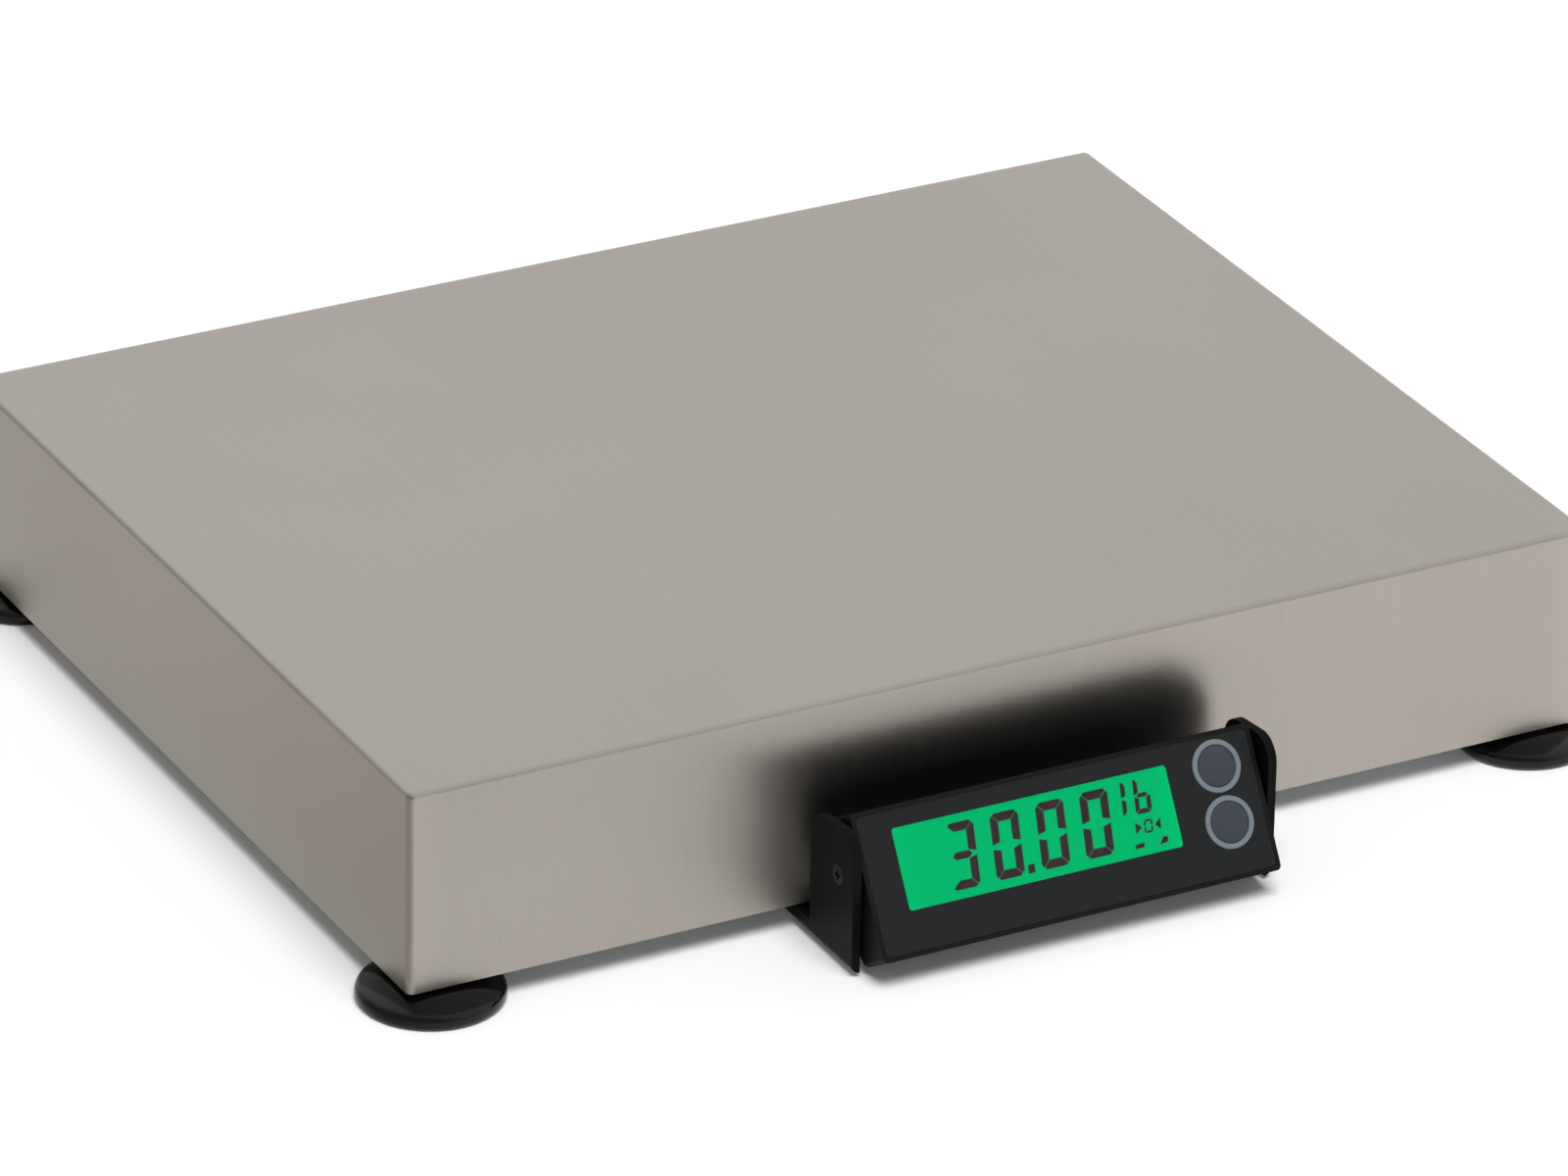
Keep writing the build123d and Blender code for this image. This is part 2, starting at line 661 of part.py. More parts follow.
# Countersunk screws that hold the bracket's floor to the frame, heads down
with BuildPart() as bracket_screws:
    with BuildSketch(level(bracket_z)):
        with Locations(*tail_screws):
            Circle(tail_head / 2)
    extrude(amount=(tail_head - tail_screw) / 2, taper=45)
    with BuildSketch(level(bracket_z)):
        with Locations(*tail_screws):
            Circle(tail_screw / 2)
    extrude(amount=bracket_sheet + tail_thread_depth - seat_gap)
    with BuildSketch(level(bracket_z)):
        with Locations(*tail_screws):
            RegularPolygon(tail_hexagon / 2, 6, major_radius=False)
    extrude(amount=bracket_sheet / 2, mode=Mode.SUBTRACT)
bracket_screws.part.label = "bracket_screws"
export_step(bracket_screws.part, "parts/bracket_screws.step")


def case_outline(inset):
    """The display case's side section, drawn inwards by inset."""
    with BuildSketch(case_side) as outline:
        with BuildLine():
            Polyline((-case_below, case_front), (case_above, case_front),
                     (case_above, case_shoulder - case_back), (case_above - case_shoulder, -case_back),
                     (-case_waist, -case_back), (-case_below, -case_heel), close=True)
        make_face()
        if inset:
            offset(amount=-inset, kind=Kind.INTERSECTION)
    return outline.sketch


post_places = [(side * case_screw_x, up) for side in (-1, 1) for up in case_screw_rows]
board_screws_at = [(x, case_above - board_screw_drop) for x in board_screw_xs]
board_back = board_seat - board_thickness
inner_back = case_wall - case_back

# Rear half of the case: a shell with screw posts, pivot bosses and two sockets' openings
with BuildPart() as display_rear_shell:
    extrude(case_outline(0), amount=case_width / 2, both=True)
    fillet(display_rear_shell.edges().filter_by(Axis((0, 0, 0), out_of_panel)), case_corner)
    split(bisect_by=panel(case_split), keep=Keep.BOTTOM)
    extrude(case_outline(case_wall), amount=case_width / 2 - case_wall, both=True, mode=Mode.SUBTRACT)
    with BuildSketch(panel(inner_back)):
        with Locations(*post_places):
            Circle(rear_post_diameter / 2)
    extrude(amount=board_back - seat_gap - inner_back)
    for side in (-1, 1):
        pivot_face = Plane((side * (case_width / 2 - case_wall), pivot_y, pivot_z), z_dir=(-side, 0, 0))
        with BuildSketch(pivot_face):
            Circle(insert_diameter / 2 + insert_wall)
        extrude(amount=insert_length - case_wall + insert_wall)
        with BuildSketch(Plane((side * case_width / 2, pivot_y, pivot_z), z_dir=(-side, 0, 0))):
            Circle(insert_diameter / 2)
        extrude(amount=insert_length, mode=Mode.SUBTRACT)
    with BuildSketch(panel(-case_back)):
        with Locations(*post_places):
            Circle(case_screw / 2 + screw_clearance)
    extrude(amount=case_back, mode=Mode.SUBTRACT)
    with BuildSketch(panel(-case_back)):
        with Locations(*post_places):
            Circle(case_screw_head / 2 + seat_gap)
    extrude(amount=case_screw_sink, mode=Mode.SUBTRACT)
    with BuildSketch(panel(-case_back)):
        with Locations((lead_socket_x, case_above - socket_drop)):
            Rectangle(lead_socket_size[0] + 2 * seat_gap, lead_socket_size[1] + 2 * seat_gap)
        with Locations((power_socket_x, case_above - socket_drop)):
            Rectangle(power_socket_size[0] + 2 * seat_gap, power_socket_size[1] + 2 * seat_gap)
    extrude(amount=case_wall, mode=Mode.SUBTRACT)
display_rear_shell.part.label = "display_rear_shell"
export_step(display_rear_shell.part, "parts/display_rear_shell.step")

# Front half: the bezel, with a recess for the film, a seat for the lens and two key holes
with BuildPart() as display_bezel:
    extrude(case_outline(0), amount=case_width / 2, both=True)
    fillet(display_bezel.edges().filter_by(Axis((0, 0, 0), out_of_panel)), case_corner)
    split(bisect_by=panel(case_split), keep=Keep.TOP)
    extrude(case_outline(case_wall), amount=case_width / 2 - case_wall, both=True, mode=Mode.SUBTRACT)
    with BuildSketch(panel(film_seat)):
        with Locations((0, panel_middle)):
            RectangleRounded(case_width - 2 * overlay_margin, case_above + case_below - 2 * overlay_margin,
                             case_corner)
    extrude(amount=case_front, mode=Mode.SUBTRACT)
    with BuildSketch(panel(panel_back)):
        with Locations(*post_places):
            Circle(post_diameter / 2)
    extrude(amount=-(panel_back - board_back))
    with BuildSketch(panel(panel_back)):
        with Locations(*board_screws_at):
            Circle(post_diameter / 2)
    extrude(amount=-(panel_back - board_seat))
    with BuildSketch(panel(board_back)):
        with Locations(*post_places):
            Circle(case_screw / 2 + thread_gap)
        with Locations(*board_screws_at):
            Circle(board_screw / 2 + thread_gap)
    extrude(amount=post_hole_depth, mode=Mode.SUBTRACT)
    with BuildSketch(panel(panel_back)):
        with Locations((window_x, window_up)):
            Rectangle(window_width + 2 * lens_lap, window_height + 2 * lens_lap)
        with Locations(*key_places):
            Circle(key_ring_bore / 2)
    extrude(amount=case_wall, mode=Mode.SUBTRACT)
display_bezel.part.label = "display_bezel"
export_step(display_bezel.part, "parts/display_bezel.step")

# Film over the whole panel, cut out for the window and the key rings
with BuildPart() as display_overlay:
    with BuildSketch(panel(film_seat)):
        with Locations((0, panel_middle)):
            RectangleRounded(case_width - 2 * (overlay_margin + seat_gap),
                             case_above + case_below - 2 * (overlay_margin + seat_gap), case_corner)
        with Locations((window_x, window_up)):
            RectangleRounded(window_width, window_height, window_corner, mode=Mode.SUBTRACT)
        with Locations(*key_places):
            Circle(key_ring_diameter / 2 + seat_gap, mode=Mode.SUBTRACT)
    extrude(amount=overlay_thickness)
display_overlay.part.label = "display_overlay"
export_step(display_overlay.part, "parts/display_overlay.step")

# Clear lens: a step behind the film, standing up flush through the film's window
with BuildPart() as display_lens:
    with BuildSketch(panel(panel_back)):
        with Locations((window_x, window_up)):
            Rectangle(window_width + 2 * (lens_lap - seat_gap), window_height + 2 * (lens_lap - seat_gap))
    extrude(amount=case_wall - overlay_thickness)
    with BuildSketch(panel(film_seat)):
        with Locations((window_x, window_up)):
            RectangleRounded(window_width - 2 * seat_gap, window_height - 2 * seat_gap, window_corner)
    extrude(amount=overlay_thickness)
display_lens.part.label = "display_lens"
export_step(display_lens.part, "parts/display_lens.step")

with BuildPart() as lcd_glass:
    with BuildSketch(panel(glass_back)):
        with Locations((window_x, window_up)):
            Rectangle(glass_width, glass_height)
    extrude(amount=glass_thickness)
lcd_glass.part.label = "lcd_glass"
export_step(lcd_glass.part, "parts/lcd_glass.step")

with BuildPart() as backlight:
    with BuildSketch(panel(backlight_back)):
        with Locations((window_x, window_up)):
            Rectangle(glass_width - 2 * seat_gap, glass_height - 2 * seat_gap)
    extrude(amount=backlight_thickness)
backlight.part.label = "backlight"
export_step(backlight.part, "parts/backlight.step")

with BuildPart() as lcd_holder:
    with BuildSketch(panel(board_seat)):
        with Locations((window_x, window_up)):
            Rectangle(glass_width + 2 * (seat_gap + holder_wall), glass_height + 2 * (seat_gap + holder_wall))
            Rectangle(glass_width + 2 * seat_gap, glass_height + 2 * seat_gap, mode=Mode.SUBTRACT)
    extrude(amount=panel_back - board_seat)
lcd_holder.part.label = "lcd_holder"
export_step(lcd_holder.part, "parts/lcd_holder.step")

# Circuit board, screwed to two posts of the bezel, and what stands on it
with BuildPart() as display_board:
    with BuildSketch(panel(board_back)):
        with Locations((0, panel_middle)):
            Rectangle(board_width, board_height)
        with Locations(*board_screws_at):
            Circle(board_screw / 2 + screw_clearance, mode=Mode.SUBTRACT)
    extrude(amount=board_thickness)
display_board.part.label = "display_board"
export_step(display_board.part, "parts/display_board.step")

with BuildPart() as board_chips:
    for x, up, wide, high, thick in chips:
        with BuildSketch(panel(board_back)):
            with Locations((x, up)):
                Rectangle(wide, high)
        extrude(amount=-thick)
board_chips.part.label = "board_chips"
export_step(board_chips.part, "parts/board_chips.step")

with BuildPart() as board_screws:
    with BuildSketch(panel(board_back)):
        with Locations(*board_screws_at):
            Circle(board_screw_head / 2)
    extrude(amount=-board_screw_head_height)
    with BuildSketch(panel(board_back)):
        with Locations(*board_screws_at):
            Circle(board_screw / 2)
    extrude(amount=board_screw_length)
board_screws.part.label = "board_screws"
export_step(board_screws.part, "parts/board_screws.step")

screw_back = case_screw_sink - case_screw_head_height - case_back
with BuildPart() as case_screws:
    with BuildSketch(panel(screw_back)):
        with Locations(*post_places):
            Circle(case_screw_head / 2)
    extrude(amount=case_screw_head_height)
    with BuildSketch(panel(screw_back)):
        with Locations(*post_places):
            Circle(case_screw / 2)
    extrude(amount=case_screw_length)
    with BuildSketch(panel(screw_back)):
        with Locations(*post_places):
            Rectangle(case_screw, case_screw / 4)
            Rectangle(case_screw / 4, case_screw)
    extrude(amount=case_screw_head_height / 2, mode=Mode.SUBTRACT)
case_screws.part.label = "case_screws"
export_step(case_screws.part, "parts/case_screws.step")

# Sockets, seated on the board's back and flush with the back of the case
with BuildPart() as lead_socket:
    with BuildSketch(panel(-case_back)):
        with Locations((lead_socket_x, case_above - socket_drop)):
            Rectangle(*lead_socket_size)
    extrude(amount=case_back + board_back)
    with BuildSketch(panel(-case_back)):
        with Locations((lead_socket_x, case_above - socket_drop)):
            Rectangle(*lead_port_size)
    extrude(amount=port_depth, mode=Mode.SUBTRACT)
lead_socket.part.label = "lead_socket"
export_step(lead_socket.part, "parts/lead_socket.step")

with BuildPart() as power_socket:
    with BuildSketch(panel(-case_back)):
        with Locations((power_socket_x, case_above - socket_drop)):
            Rectangle(*power_socket_size)
    extrude(amount=case_back + board_back)
    with BuildSketch(panel(-case_back)):
        with Locations((power_socket_x, case_above - socket_drop)):
            Circle(power_port / 2)
            Circle(power_pin / 2, mode=Mode.SUBTRACT)
    extrude(amount=port_depth, mode=Mode.SUBTRACT)
power_socket.part.label = "power_socket"
export_step(power_socket.part, "parts/power_socket.step")

# Key switches on the board, with the plungers' wells
switch_top = board_seat + switch_height
plunger_foot = switch_top - plunger_sink
key_back = panel_back - key_lug_height
with BuildPart() as key_switches:
    with BuildSketch(panel(board_seat)):
        with Locations(*key_places):
            Rectangle(switch_size, switch_size)
    extrude(amount=switch_height)
    with BuildSketch(panel(switch_top)):
        with Locations(*key_places):
            Circle(plunger_diameter / 2 + running_gap)
    extrude(amount=-(plunger_sink + key_travel + seat_gap), mode=Mode.SUBTRACT)
key_switches.part.label = "key_switches"
export_step(key_switches.part, "parts/key_switches.step")

# Raised trim rings round the keys
with BuildPart() as key_rings:
    with BuildSketch(panel(film_seat)):
        with Locations(*key_places):
            Circle(key_ring_diameter / 2)
            Circle(key_ring_bore / 2, mode=Mode.SUBTRACT)
    extrude(amount=overlay_thickness + key_ring_proud)
    fillet(key_rings.edges().group_by(Axis((0, 0, 0), out_of_panel))[-1], key_ring_proud * 0.9)
key_rings.part.label = "key_rings"
export_step(key_rings.part, "parts/key_rings.step")

# Keys: a domed cap with two lugs behind the panel, and the plunger it bears on
crown_top = case_front + key_dome
key_radius = key_diameter / 2
crown_radius = (key_radius ** 2 + key_dome ** 2) / (2 * key_dome)
crown_middle = crown_top - crown_radius + (crown_radius ** 2 - key_radius ** 2 / 4) ** 0.5
with BuildPart() as key_form:
    with BuildSketch(Plane.XZ):
        with BuildLine():
            Polyline((0, crown_top), (0, key_back), (key_radius, key_back), (key_radius, case_front))
            ThreePointArc((key_radius, case_front), (key_radius / 2, crown_middle), (0, crown_top))
        make_face()
    revolve(axis=Axis.Z)
    with BuildSketch(Plane.XY.offset(key_back)):
        Rectangle(key_lug_width, key_lug_span)
    extrude(amount=key_lug_height - running_gap)
for name, up in key_ups.items():
    with BuildPart() as key:
        with Locations(display):
            with Locations((key_x, up)):
                add(key_form.part)
    key.part.label = name
    export_step(key.part, f"parts/{name}.step")
    with BuildPart() as plunger:
        with BuildSketch(panel(plunger_foot)):
            with Locations((key_x, up)):
                Circle(plunger_diameter / 2)
        extrude(amount=key_back - plunger_foot)
    plunger.part.label = f"{name}_plunger"
    export_step(plunger.part, f"parts/{name}_plunger.step")

# Pivots: brass inserts in the case, countersunk screws through the ears, fibre washers between
side_planes = [Plane((side * case_width / 2, pivot_y, pivot_z), z_dir=(side, 0, 0)) for side in (-1, 1)]
with BuildPart() as pivot_inserts:
    for side_plane in side_planes:
        with BuildSketch(side_plane):
            Circle(insert_diameter / 2)
            Circle(pivot_screw / 2 + thread_gap, mode=Mode.SUBTRACT)
        extrude(amount=-insert_length)
pivot_inserts.part.label = "pivot_inserts"
export_step(pivot_inserts.part, "parts/pivot_inserts.step")

ear_face = bracket_width / 2 - case_width / 2
with BuildPart() as pivot_screws:
    for side_plane in side_planes:
        with BuildSketch(side_plane.offset(ear_face)):
            Circle(pivot_head / 2)
        extrude(amount=-(pivot_head - pivot_screw) / 2, taper=45)
        with BuildSketch(side_plane.offset(ear_face)):
            Circle(pivot_screw / 2)
        extrude(amount=-(ear_face + pivot_engagement))
        with BuildSketch(side_plane.offset(ear_face)):
            Rectangle(pivot_screw, pivot_screw / 4)
            Rectangle(pivot_screw / 4, pivot_screw)
        extrude(amount=-pivot_head_height * 0.6, mode=Mode.SUBTRACT)
pivot_screws.part.label = "pivot_screws"
export_step(pivot_screws.part, "parts/pivot_screws.step")

with BuildPart() as friction_washers:
    for side_plane in side_planes:
        with BuildSketch(side_plane.offset(running_gap)):
            Circle(washer_diameter / 2)
            Circle(pivot_screw / 2 + running_gap, mode=Mode.SUBTRACT)
        extrude(amount=ear_inside - case_width / 2 - running_gap)
friction_washers.part.label = "friction_washers"
export_step(friction_washers.part, "parts/friction_washers.step")
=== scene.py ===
import math

import bmesh
import bpy
from mathutils import Matrix, Vector


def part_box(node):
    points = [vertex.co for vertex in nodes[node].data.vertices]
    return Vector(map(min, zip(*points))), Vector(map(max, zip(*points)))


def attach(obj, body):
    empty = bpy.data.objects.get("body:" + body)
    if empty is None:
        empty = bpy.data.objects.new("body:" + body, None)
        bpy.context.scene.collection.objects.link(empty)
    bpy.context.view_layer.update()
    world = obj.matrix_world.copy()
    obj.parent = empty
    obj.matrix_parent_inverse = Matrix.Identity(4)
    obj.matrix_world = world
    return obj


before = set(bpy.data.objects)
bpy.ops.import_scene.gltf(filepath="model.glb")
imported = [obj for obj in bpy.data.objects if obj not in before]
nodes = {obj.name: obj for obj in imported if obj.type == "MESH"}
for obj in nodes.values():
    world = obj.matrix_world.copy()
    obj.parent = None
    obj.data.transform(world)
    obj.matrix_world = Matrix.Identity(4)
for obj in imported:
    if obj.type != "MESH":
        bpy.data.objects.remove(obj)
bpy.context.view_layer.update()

# Base frame and spider: sand-cast aluminium, left as cast, with the sand's grain in its skin.
# Both hide inside the platter's skirt.

# Numbers of a Mix node's two inputs and of its output, for colours, vectors and plain numbers
COLOUR_A, COLOUR_B, COLOUR_OUT = 6, 7, 2
VECTOR_A, VECTOR_B, VECTOR_OUT = 4, 5, 1
NUMBER_A, NUMBER_B, NUMBER_OUT = 2, 3, 0


def linear(colour):
    """An sRGB hex colour as linear RGBA."""
    channels = [int(colour[i:i + 2], 16) / 255 for i in (1, 3, 5)]
    return [c / 12.92 if c <= 0.04045 else ((c + 0.055) / 1.055) ** 2.4
            for c in channels] + [1.0]


def add(tree, kind, inputs=None, **settings):
    """Adds a node with its settings; an input is a value, or a socket to link."""
    node = tree.nodes.new(kind)
    for name, value in settings.items():
        setattr(node, name, value)
    for name, value in (inputs or {}).items():
        if isinstance(value, bpy.types.NodeSocket):
            tree.links.new(value, node.inputs[name])
        else:
            node.inputs[name].default_value = value
    return node


def surface(name, colour, metallic=0.0, roughness=0.5, **extras):
    """A new material, with its node tree and its Principled shader."""
    material = bpy.data.materials.new(name)
    material.use_nodes = True
    tree = material.node_tree
    shader = tree.nodes["Principled BSDF"]
    shader.inputs["Base Color"].default_value = linear(colour)
    shader.inputs["Metallic"].default_value = metallic
    shader.inputs["Roughness"].default_value = roughness
    for socket, value in extras.items():
        shader.inputs[socket.replace("_", " ")].default_value = value
    return material, tree, shader


def mottled(tree, shader, dark, light, per_metre, rough, stretch=(1, 1, 1), bump=0.0, depth=0.0001):
    """Noise with so many grains in a metre, which varies colour, roughness and height."""
    place = add(tree, "ShaderNodeTexCoord")
    stretched = add(tree, "ShaderNodeMapping", {"Vector": place.outputs["Object"],
                                                "Scale": stretch})
    noise = add(tree, "ShaderNodeTexNoise", {"Vector": stretched.outputs["Vector"],
                                             "Scale": per_metre, "Detail": 4.0})
    colours = add(tree, "ShaderNodeMix", {"Factor": noise.outputs["Fac"], COLOUR_A: linear(dark),
                                          COLOUR_B: linear(light)}, data_type="RGBA")
    tree.links.new(colours.outputs[COLOUR_OUT], shader.inputs["Base Color"])
    spread = add(tree, "ShaderNodeMapRange", {"Value": noise.outputs["Fac"], "To Min": rough[0],
                                              "To Max": rough[1]})
    tree.links.new(spread.outputs["Result"], shader.inputs["Roughness"])
    if bump:
        height = add(tree, "ShaderNodeBump", {"Height": noise.outputs["Fac"], "Strength": bump,
                                              "Distance": depth})
        tree.links.new(height.outputs["Normal"], shader.inputs["Normal"])


def finish(material, *names):
    """Gives CAD nodes this material."""
    for name in names:
        mesh = nodes[name].data
        mesh.materials.clear()
        mesh.materials.append(material)


SAND_GRAIN = 0.0008
cast_aluminium, tree, shader = surface("as_cast_aluminium", "#A9ABAD", metallic=1.0,
                                       roughness=0.55)
mottled(tree, shader, "#9C9EA0", "#B4B6B8", 1 / SAND_GRAIN, (0.5, 0.68), bump=0.35, depth=0.0002)
finish(cast_aluminium, "base_frame", "spider")

# Load cell and its spacers: bars of milled aluminium, with the cutter's fine lines along them.
# The gauges are foil on amber polyimide, under a clear coat.
CUTTER_STEP = 0.0004
CUTTER_STRETCH = (0.02, 1, 1)
milled_aluminium, tree, shader = surface("milled_aluminium", "#C9CACD", metallic=1.0,
                                         roughness=0.32)
mottled(tree, shader, "#BFC0C3", "#D2D3D6", 1 / CUTTER_STEP, (0.26, 0.4),
        stretch=CUTTER_STRETCH, bump=0.15)
finish(milled_aluminium, "load_cell", "live_spacer", "base_spacer")

gauge_film, tree, shader = surface("polyimide_gauge_film", "#8A5A22", roughness=0.3)
mottled(tree, shader, "#7C4E1B", "#96642A", 2500, (0.25, 0.35))
finish(gauge_film, "strain_gauges")

# Screws, nuts and studs: zinc-plated or black-oxide steel, as the trade supplies them.
zinc_plate, tree, shader = surface("zinc_plated_steel", "#BFC2C6", metallic=1.0, roughness=0.3)
mottled(tree, shader, "#B4B8BD", "#C9CCD0", 900, (0.22, 0.38))
finish(zinc_plate, "foot_stud_front_left", "foot_stud_front_right", "foot_stud_back_left",
       "foot_stud_back_right", "foot_jam_nuts", "overload_locknuts", "board_screws")

black_oxide, tree, shader = surface("black_oxide_steel", "#1A1A1C", metallic=0.6, roughness=0.42)
mottled(tree, shader, "#141416", "#202123", 1200, (0.36, 0.5))
finish(black_oxide, "load_cell_base_screws", "load_cell_live_screws", "overload_stops",
       "bracket_screws", "case_screws", "pivot_screws")

# Level vial: tinted liquid in clear acrylic. Its black moulded ring has the case's finish.
vial_acrylic, tree, shader = surface("tinted_acrylic_vial", "#9CC95A", roughness=0.08, IOR=1.49,
                                     Transmission_Weight=0.6)
mottled(tree, shader, "#93C24F", "#A6D166", 60, (0.05, 0.12))
finish(vial_acrylic, "level_vial")

# Rubber: the platter's cushions and the lead's grommet, moulded nitrile with a dull skin.
nitrile_rubber, tree, shader = surface("moulded_nitrile_rubber", "#161616", roughness=0.75,
                                       Specular_IOR_Level=0.2)
mottled(tree, shader, "#121212", "#1B1B1B", 1500, (0.68, 0.82), bump=0.2)
finish(nitrile_rubber, "platter_cushions", "lead_grommet")

# Feet: glossy black nylon pads, moulded, that swivel on the studs.
black_nylon, tree, shader = surface("glossy_black_nylon", "#060606", roughness=0.22,
                                    Specular_IOR_Level=0.12, Coat_Weight=0.35,
                                    Coat_Roughness=0.1)
mottled(tree, shader, "#050505", "#080808", 220, (0.18, 0.28), bump=0.05)
finish(black_nylon, "foot_pad_front_left", "foot_pad_front_right", "foot_pad_back_left",
       "foot_pad_back_right")

# Platter: one sheet of 304 stainless, brushed front to back before it was folded, so that the
# grain runs down the front and back skirts and along the two side skirts.
BRUSH_LINE = 0.00035        # drawn about three times as coarse as the real scratch, to show
BRUSH_STRETCH = 0.01        # a scratch's width over its length
CLOUDS_PER_METRE = 9.0      # faint broad patches in the tone
STEEP = 0.7                 # how squarely a face has to look forward or back to be a skirt
CORNER_TONE = 1.07          # the welded corners are ground a little brighter
CORNER_BAND = 0.012
SKIRT_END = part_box("platter")[1].x
brushed_stainless, tree, shader = surface("brushed_304_stainless", "#ACA7A0", metallic=1.0,
                                          roughness=0.34, Anisotropic=0.6)
place = add(tree, "ShaderNodeTexCoord")
facing = add(tree, "ShaderNodeSeparateXYZ", {"Vector": place.outputs["Normal"]})
squareness = add(tree, "ShaderNodeMath", {0: facing.outputs["Y"]}, operation="ABSOLUTE")
is_front = add(tree, "ShaderNodeMath", {0: squareness.outputs[0], 1: STEEP},
               operation="GREATER_THAN")
grain = add(tree, "ShaderNodeMix", {"Factor": is_front.outputs[0], VECTOR_A: (0, 1, 0),
                                    VECTOR_B: (0, 0, 1)}, data_type="VECTOR")
across_grain = add(tree, "ShaderNodeVectorMath", {0: place.outputs["Normal"],
                                                  1: grain.outputs[VECTOR_OUT]},
                   operation="CROSS_PRODUCT")
tree.links.new(across_grain.outputs[0], shader.inputs["Tangent"])
along_depth = add(tree, "ShaderNodeMapping", {"Vector": place.outputs["Object"],
                                              "Scale": (1, BRUSH_STRETCH, 1)})
along_height = add(tree, "ShaderNodeMapping", {"Vector": place.outputs["Object"],
                                               "Scale": (1, 1, BRUSH_STRETCH)})
direction = add(tree, "ShaderNodeMix", {"Factor": is_front.outputs[0],
                                        VECTOR_A: along_depth.outputs[0],
                                        VECTOR_B: along_height.outputs[0]}, data_type="VECTOR")
lines = add(tree, "ShaderNodeTexNoise", {"Vector": direction.outputs[VECTOR_OUT],
                                         "Scale": 1 / BRUSH_LINE, "Detail": 3.0})
clouds = add(tree, "ShaderNodeTexNoise", {"Vector": place.outputs["Object"],
                                          "Scale": CLOUDS_PER_METRE, "Detail": 2.0})
tone = add(tree, "ShaderNodeMix", {"Factor": lines.outputs["Fac"], COLOUR_A: linear("#A7A29B"),
                                   COLOUR_B: linear("#B1ACA5")}, data_type="RGBA")
cloudy = add(tree, "ShaderNodeMix", {"Factor": clouds.outputs["Fac"],
                                     COLOUR_A: tone.outputs[COLOUR_OUT],
                                     COLOUR_B: linear("#F4F2F1")},
             data_type="RGBA", blend_type="MULTIPLY")
spot = add(tree, "ShaderNodeSeparateXYZ", {"Vector": place.outputs["Object"]})
from_middle = add(tree, "ShaderNodeMath", {0: spot.outputs["X"]}, operation="ABSOLUTE")
corner = add(tree, "ShaderNodeMapRange", {"Value": from_middle.outputs[0],
                                          "From Min": SKIRT_END - CORNER_BAND,
                                          "From Max": SKIRT_END, "To Min": 1.0,
                                          "To Max": CORNER_TONE})
skirt_tone = add(tree, "ShaderNodeMix", {"Factor": is_front.outputs[0], NUMBER_A: 1.0,
                                         NUMBER_B: corner.outputs["Result"]}, data_type="FLOAT")
toned = add(tree, "ShaderNodeVectorMath", {0: cloudy.outputs[COLOUR_OUT],
                                           "Scale": skirt_tone.outputs[NUMBER_OUT]},
            operation="SCALE")
tree.links.new(toned.outputs[0], shader.inputs["Base Color"])
scratch = add(tree, "ShaderNodeMapRange", {"Value": lines.outputs["Fac"], "To Min": 0.28,
                                           "To Max": 0.4})
tree.links.new(scratch.outputs[0], shader.inputs["Roughness"])
relief = add(tree, "ShaderNodeBump", {"Height": lines.outputs["Fac"], "Strength": 0.12,
                                      "Distance": 0.00005})
tree.links.new(relief.outputs[0], shader.inputs["Normal"])
finish(brushed_stainless, "platter")

# Display bracket: bent sheet steel under a satin black powder coat, with its faint orange peel.
ORANGE_PEEL = 0.0006
powder_coat, tree, shader = surface("black_powder_coat", "#0D0D0C", roughness=0.5,
                                    Specular_IOR_Level=0.06)
mottled(tree, shader, "#0B0B0A", "#0F0F0E", 1 / ORANGE_PEEL, (0.44, 0.56), bump=0.2,
        depth=0.00004)
finish(powder_coat, "display_bracket")

# Pivots: fibre washers squeezed between the ears and the case, brass inserts in the case.
pressed_fibre, tree, shader = surface("pressed_fibre", "#5E2A1C", roughness=0.7)
mottled(tree, shader, "#522316", "#6B3324", 2000, (0.6, 0.8), bump=0.2)
finish(pressed_fibre, "friction_washers")

turned_brass, tree, shader = surface("turned_brass", "#C9A45C", metallic=1.0, roughness=0.28)
mottled(tree, shader, "#BF9950", "#D3AF69", 1800, (0.22, 0.34))
finish(turned_brass, "pivot_inserts")

# Display case: two halves moulded in black ABS, with a fine spark-eroded texture.
SPARK_TEXTURE = 0.0005
black_abs, tree, shader = surface("textured_black_abs", "#121213", roughness=0.55,
                                  Specular_IOR_Level=0.12)
mottled(tree, shader, "#101011", "#151516", 1 / SPARK_TEXTURE, (0.48, 0.62), bump=0.3,
        depth=0.00004)
finish(black_abs, "display_bezel", "display_rear_shell", "level_ring", "lcd_holder",
       "lead_socket", "power_socket", "key_switches")

# Circuit board: glass-epoxy under green solder mask, with black moulded chips.
solder_mask, tree, shader = surface("green_solder_mask", "#12552B", roughness=0.35)
mottled(tree, shader, "#0F4A25", "#166132", 700, (0.28, 0.42))
finish(solder_mask, "display_board")

chip_epoxy, tree, shader = surface("moulded_chip_epoxy", "#1D1D1F", roughness=0.55)
mottled(tree, shader, "#18181A", "#232326", 1500, (0.5, 0.62))
finish(chip_epoxy, "board_chips")

# Overlay: polycarbonate film printed charcoal on its back, with a velvet front that hides wear.
VELVET = 0.0004
printed_film, tree, shader = surface("printed_polycarbonate_film", "#212224", roughness=0.5,
                                     Specular_IOR_Level=0.1)
mottled(tree, shader, "#1F2022", "#232426", 1 / VELVET, (0.44, 0.56), bump=0.12, depth=0.00002)
finish(printed_film, "display_overlay")

